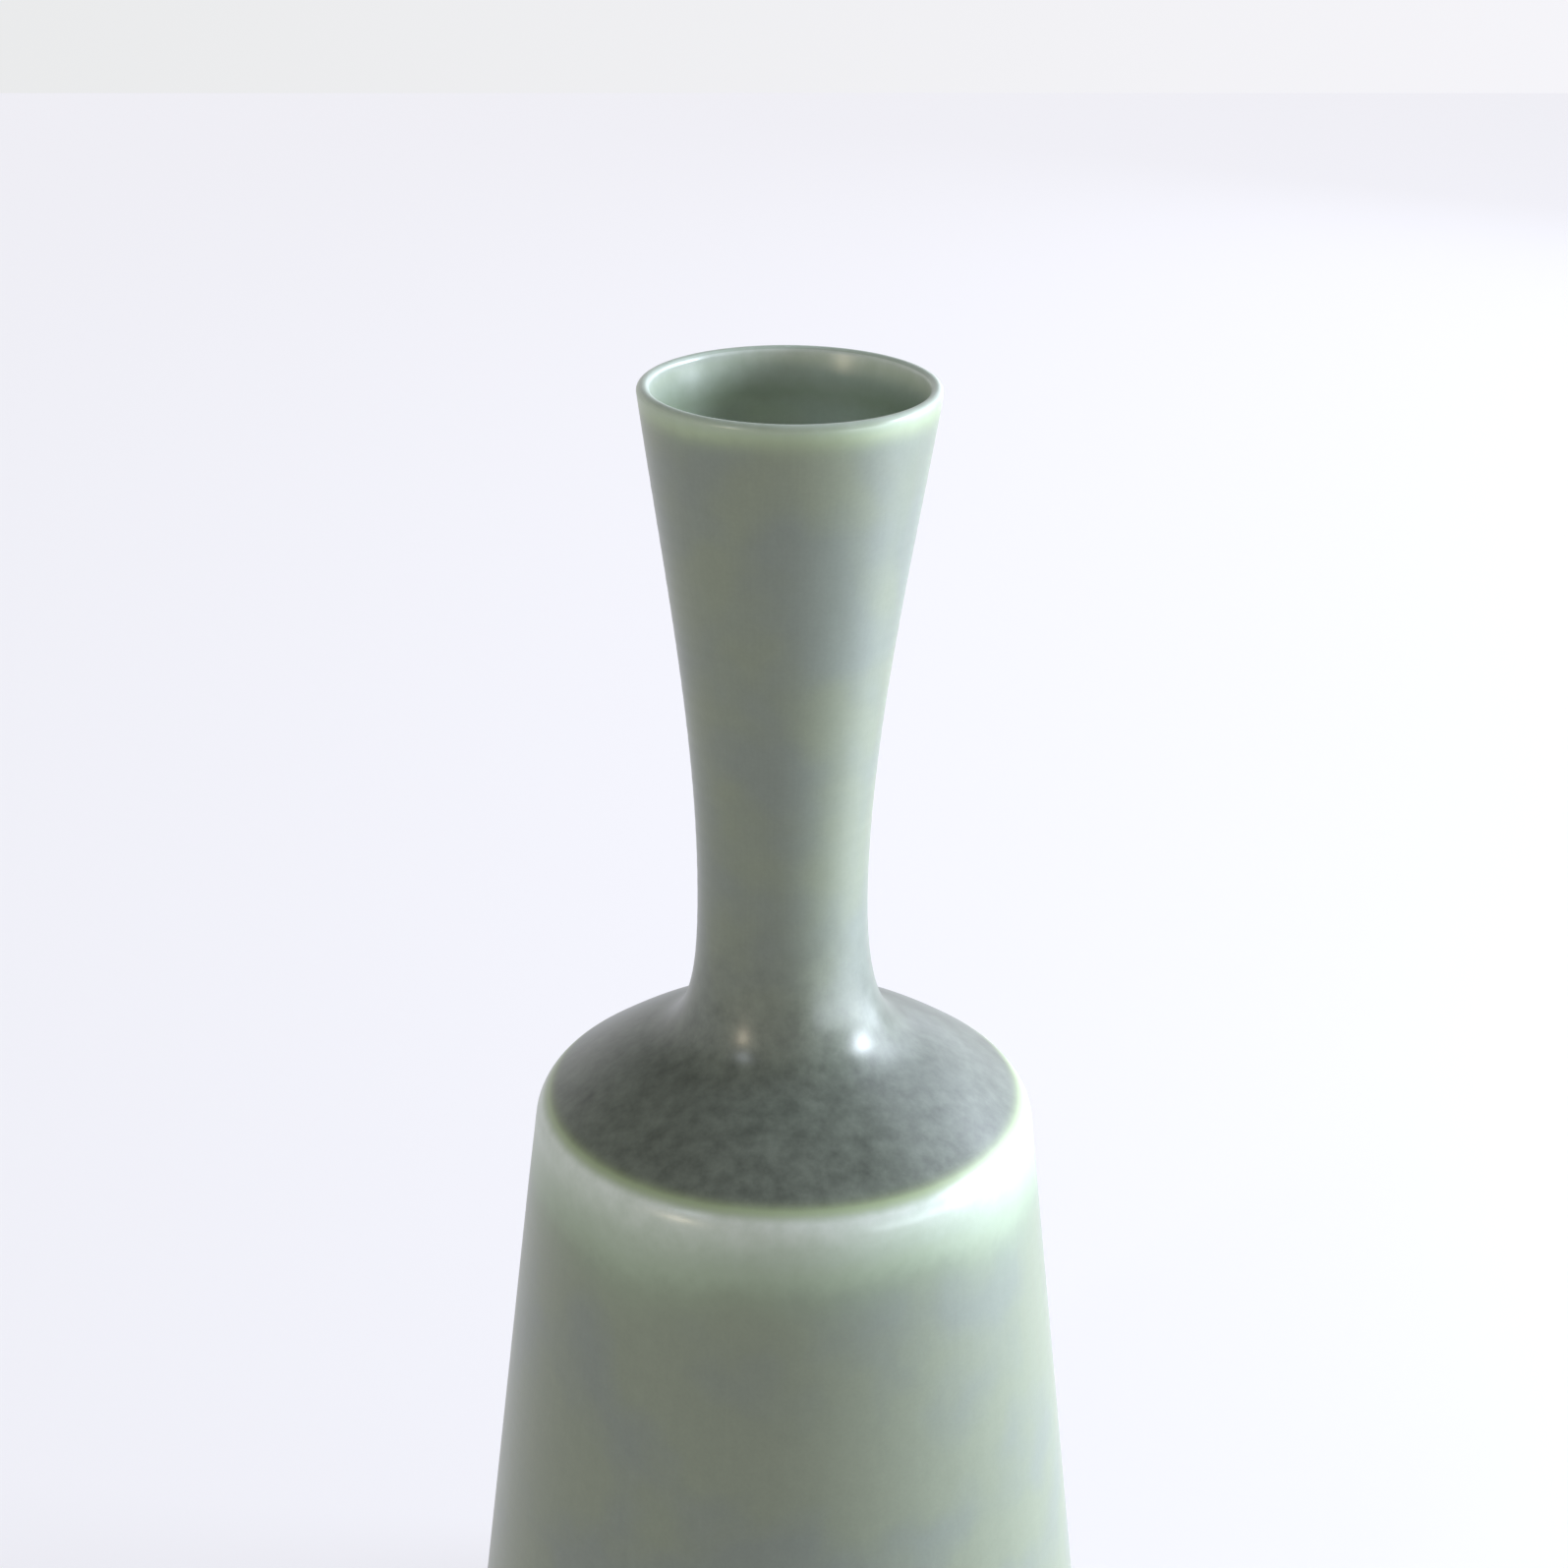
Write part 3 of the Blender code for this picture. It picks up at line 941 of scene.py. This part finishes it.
def make_floor(stage):
    """A board of two cells each way, far wider than the bottle, with its top at the resting plane."""
    x, y = np.meshgrid([-BOARD_REACH, 0, BOARD_REACH], [-BOARD_REACH, 0, stage.far_edge])
    y[2] += x[2] * math.tan(stage.far_turn)
    points = np.stack([x, y, np.zeros_like(x)], axis=2).reshape(-1, 3)
    here = (np.arange(2)[:, None] * 3 + np.arange(2)[None, :]).ravel()
    mesh = bpy.data.meshes.new("floor")
    mesh.from_pydata(points.tolist(), [], np.stack([here, here + 1, here + 4, here + 3], axis=1).tolist())
    board = bpy.data.objects.new("floor", mesh)
    bpy.context.scene.collection.objects.link(board)
    mesh.materials.append(lit_acrylic(stage))


def make_surroundings(stage):
    """A pale room with a dark ceiling, paler at the right below the horizon.

    Brightness falls smoothly from the walls to the zenith.
    """
    world = bpy.data.worlds.new("studio")
    world.use_nodes = True
    tree = world.node_tree
    tree.nodes.clear()
    toward = add_node(tree, "ShaderNodeTexCoord").outputs["Generated"]
    sides = add_node(tree, "ShaderNodeSeparateXYZ", {"Vector": toward}).outputs
    rise = sides["Z"]
    above = add_node(
        tree, "ShaderNodeMapRange", {"Value": rise, "From Min": -0.12, "From Max": 0.0}
    ).outputs["Result"]
    overhead = add_node(
        tree,
        "ShaderNodeMapRange",
        {"Value": rise, "From Min": 0.15, "From Max": 0.60},
        interpolation_type="SMOOTHSTEP",
    ).outputs["Result"]
    aside = add_node(
        tree, "ShaderNodeMapRange", {"Value": sides["X"], "From Min": -0.35, "From Max": 0.35}
    ).outputs["Result"]
    lowest = add_node(
        tree,
        "ShaderNodeMix",
        {0: aside, 6: linear(stage.skirting), 7: linear(stage.skirting_lit)},
        data_type="RGBA",
    ).outputs[2]
    low = add_node(
        tree, "ShaderNodeMix", {0: above, 6: lowest, 7: linear(stage.wall)}, data_type="RGBA"
    ).outputs[2]
    tone = add_node(
        tree, "ShaderNodeMix", {0: overhead, 6: low, 7: linear(stage.ceiling)}, data_type="RGBA"
    ).outputs[2]
    sky = add_node(tree, "ShaderNodeBackground", {"Color": tone}).outputs["Background"]
    add_node(tree, "ShaderNodeOutputWorld", {"Surface": sky})
    bpy.context.scene.world = world


def make_lamp(name, azimuth, elevation, distance, size, power, tint):
    """A soft lamp of a width and height that faces the bottle's shoulder from a distance.

    Azimuth is in degrees from the camera's side to the right, elevation above level.
    """
    turn, lift = math.radians(azimuth), math.radians(elevation)
    away = Vector((math.sin(turn) * math.cos(lift), -math.cos(turn) * math.cos(lift), math.sin(lift)))
    lamp = bpy.data.lights.new(name, "AREA")
    lamp.shape = "RECTANGLE"
    lamp.size, lamp.size_y = size
    lamp.energy = power
    lamp.color = linear(tint)[:3]
    holder = bpy.data.objects.new(name, lamp)
    place = Matrix.Translation(away * distance + Vector((0, 0, SHOULDER_LEVEL)))
    holder.matrix_world = place @ away.to_track_quat("Z", "Y").to_matrix().to_4x4()
    holder.visible_camera = False
    bpy.context.scene.collection.objects.link(holder)
    return holder


def make_lamps(stage):
    """Daylight from the right and all that it lights up, then two small lamps.

    Each lamp's power is a share of the window's or the bulb's.
    """
    daylight, window, bulb = stage.window, stage.window_power, stage.bulb_power
    # The window, the wall beside it, the far wall, and the bright top of the window's reveal.
    make_lamp("window", 91, 17, 1, (0.25, 0.25), window, daylight)
    make_lamp("lit_wall", 108, 20, 1, (0.7, 0.6), window * 0.7, daylight)
    make_lamp("far_wall", 150, 14, 1, (0.7, 0.5), window * 0.19, daylight)
    make_lamp("high_window", 122, 38, 1, (0.8, 0.7), window * 0.5, daylight)
    # Two fills that light the bottle but don't shine on it, and a glare that only shines on it.
    make_lamp("skylight", 0, 85, 1, (0.9, 0.9), window * 0.15, daylight).visible_glossy = False
    make_lamp("reflector", 95, -14, 0.34, (0.3, 0.08), window * 0.25, daylight).visible_glossy = False
    make_lamp("floor_glare", 82, -14, 0.5, (1.0, 0.3), window * 0.75, daylight).visible_diffuse = False
    # The bulb and a cooler tube, at the left behind the camera.
    make_lamp("bulb", -45, 9, 1, (0.06, 0.06), bulb, stage.bulb)
    make_lamp("far_tube", -44, 30, 1, (0.06, 0.06), bulb * 0.6, daylight)


def make_camera(form, stage):
    """The camera, in front of the axis and above the lip, looking down at the bottle."""
    sight = bpy.data.cameras.new("camera")
    sight.lens = stage.lens
    sight.sensor_width = 36
    sight.clip_start = 0.01
    camera = bpy.data.objects.new("camera", sight)
    place = (stage.camera_side, -stage.camera_distance, lip_centre(form)[1] + stage.camera_rise)
    tilt = Matrix.Rotation(math.pi / 2 - stage.camera_pitch, 4, "X")
    camera.matrix_world = Matrix.Translation(place) @ tilt @ Matrix.Rotation(stage.camera_roll, 4, "Z")
    bpy.context.scene.collection.objects.link(camera)
    bpy.context.scene.camera = camera


# Operators: one for each piece or group of pieces, and one for the stage.


class BOTTLE_OT_glaze_coat(Operator):
    """Build the celadon coat outside"""

    bl_idname = "bottle.glaze_coat"
    bl_label = "Glaze coat"

    def execute(self, context):
        make_coat(context.scene.bottle_form, context.scene.bottle_glaze)
        return {"FINISHED"}


class BOTTLE_OT_glaze_liner(Operator):
    """Build the celadon liner inside"""

    bl_idname = "bottle.glaze_liner"
    bl_label = "Glaze liner"

    def execute(self, context):
        make_liner(context.scene.bottle_form, context.scene.bottle_glaze)
        return {"FINISHED"}


class BOTTLE_OT_clay_sections(Operator):
    """Build the thrown neck, shoulder and wall under the glaze"""

    bl_idname = "bottle.clay_sections"
    bl_label = "Clay sections"

    def execute(self, context):
        make_clay(context.scene.bottle_form, context.scene.bottle_clay)
        return {"FINISHED"}


class BOTTLE_OT_turned_foot(Operator):
    """Build the floor with its turned foot"""

    bl_idname = "bottle.turned_foot"
    bl_label = "Turned foot"

    def execute(self, context):
        scene = context.scene
        make_foot(scene.bottle_form, scene.bottle_foot, scene.bottle_glaze, scene.bottle_clay)
        return {"FINISHED"}


class BOTTLE_OT_stage(Operator):
    """Set the floor, the surroundings, the lamps and the camera"""

    bl_idname = "bottle.stage"
    bl_label = "Stage"

    def execute(self, context):
        scene = context.scene
        stage = scene.bottle_stage
        make_floor(stage)
        make_surroundings(stage)
        make_lamps(stage)
        make_camera(scene.bottle_form, stage)
        scene.view_settings.view_transform = "Standard"
        return {"FINISHED"}


class BOTTLE_PT_parts(Panel):
    """Lists the bottle's pieces"""

    bl_idname = "BOTTLE_PT_parts"
    bl_label = "Sake bottle"
    bl_space_type = "VIEW_3D"
    bl_region_type = "UI"
    bl_category = "Bottle"

    def draw(self, context):
        for operator in OPERATORS:
            self.layout.operator(operator.bl_idname)
        for name, group in SETTINGS.items():
            settings = getattr(context.scene, name)
            for field in group.__annotations__:
                self.layout.prop(settings, field)


SETTINGS = {
    "bottle_form": BottleForm,
    "bottle_foot": BottleFoot,
    "bottle_glaze": BottleGlaze,
    "bottle_clay": BottleClay,
    "bottle_stage": BottleStage,
}
OPERATORS = (
    BOTTLE_OT_stage,
    BOTTLE_OT_turned_foot,
    BOTTLE_OT_clay_sections,
    BOTTLE_OT_glaze_liner,
    BOTTLE_OT_glaze_coat,
)


def register():
    for group in (*SETTINGS.values(), *OPERATORS, BOTTLE_PT_parts):
        bpy.utils.register_class(group)
    for name, group in SETTINGS.items():
        setattr(bpy.types.Scene, name, PointerProperty(type=group))


def unregister():
    for name in SETTINGS:
        delattr(bpy.types.Scene, name)
    for group in (BOTTLE_PT_parts, *OPERATORS, *SETTINGS.values()):
        bpy.utils.unregister_class(group)


def main():
    register()
    bpy.ops.bottle.stage()
    bpy.ops.bottle.turned_foot()
    bpy.ops.bottle.clay_sections()
    bpy.ops.bottle.glaze_liner()
    bpy.ops.bottle.glaze_coat()


if __name__ == "__main__":
    main()
